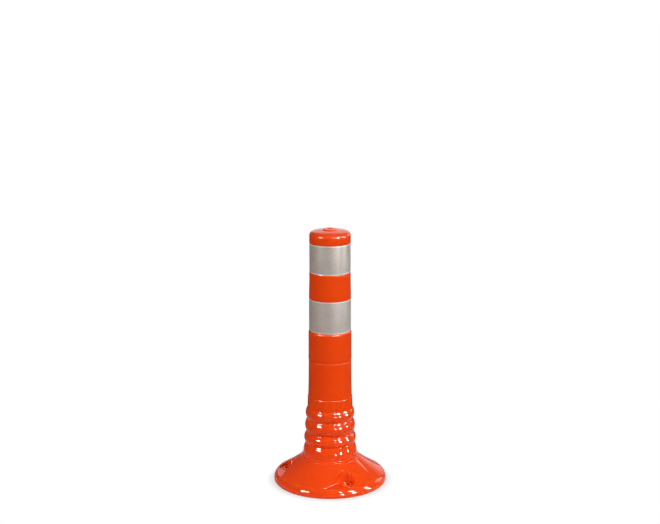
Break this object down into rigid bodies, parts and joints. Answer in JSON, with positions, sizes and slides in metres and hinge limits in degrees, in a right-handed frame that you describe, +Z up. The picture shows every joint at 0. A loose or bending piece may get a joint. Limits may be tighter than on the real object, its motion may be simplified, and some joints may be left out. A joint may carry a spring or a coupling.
{
  "type": "flexible lane divider",
  "caption": "Hollow upright post with reflective bands on a ribbed flexible neck and a wide conical base that bolts to the road, with a bushed cap for linking chains.",
  "frame": {"origin": "on the ground, at the middle of the base", "axes": "+Z up along the post, and -Y towards the viewer of the picture"},
  "size_m": [0.197, 0.197, 0.45],
  "materials": {
    "base_plastic": "glossy moulded orange plastic",
    "neck_plastic": "glossy flexible orange plastic",
    "post_plastic": "glossy orange plastic",
    "washer_plastic": "hard orange plastic",
    "reflective_film": "silver retroreflective film with a pale sealed edge"
  },
  "bodies": {
    "base": {"base_flange": "base_plastic", "bolt_washer_front": "washer_plastic", "bolt_washer_left": "washer_plastic", "bolt_washer_rear": "washer_plastic", "neck_collar": "neck_plastic"},
    "bead_lower": {"neck_bead_lower": "neck_plastic"},
    "bead_middle": {"neck_bead_middle": "neck_plastic"},
    "bead_upper": {"neck_bead_upper": "neck_plastic"},
    "post": {"neck_sleeve": "neck_plastic", "post_tube": "post_plastic", "reflective_band_lower": "reflective_film", "reflective_band_upper": "reflective_film", "top_cap": "post_plastic", "chain_bush": "post_plastic"}
  },
  "joints": [
    {"name": "sway_fore_aft", "type": "hinge", "parent": "base", "child": "bead_lower", "pos_m": [0, 0, 0.0704], "axis": [1, 0, 0], "range_deg": [-33, 33], "stiffness_Nm_per_rad": 40, "deforming": ["neck_bead_lower"]},
    {"name": "sway_side", "type": "hinge", "parent": "bead_lower", "child": "bead_middle", "pos_m": [0, 0, 0.09], "axis": [0, 1, 0], "range_deg": [-33, 33], "stiffness_Nm_per_rad": 40, "deforming": ["neck_bead_middle"]},
    {"name": "sway_fore_aft_upper", "type": "hinge", "parent": "bead_middle", "child": "bead_upper", "pos_m": [0, 0, 0.1144], "axis": [1, 0, 0], "range_deg": [-33, 33], "stiffness_Nm_per_rad": 40, "deforming": ["neck_bead_upper"]},
    {"name": "sway_side_upper", "type": "hinge", "parent": "bead_upper", "child": "post", "pos_m": [0, 0, 0.1336], "axis": [0, 1, 0], "range_deg": [-33, 33], "stiffness_Nm_per_rad": 40}
  ],
  "couplings": [
    {"joint": "sway_fore_aft_upper", "follows": "sway_fore_aft", "ratio": 1},
    {"joint": "sway_side_upper", "follows": "sway_side", "ratio": 1}
  ]
}
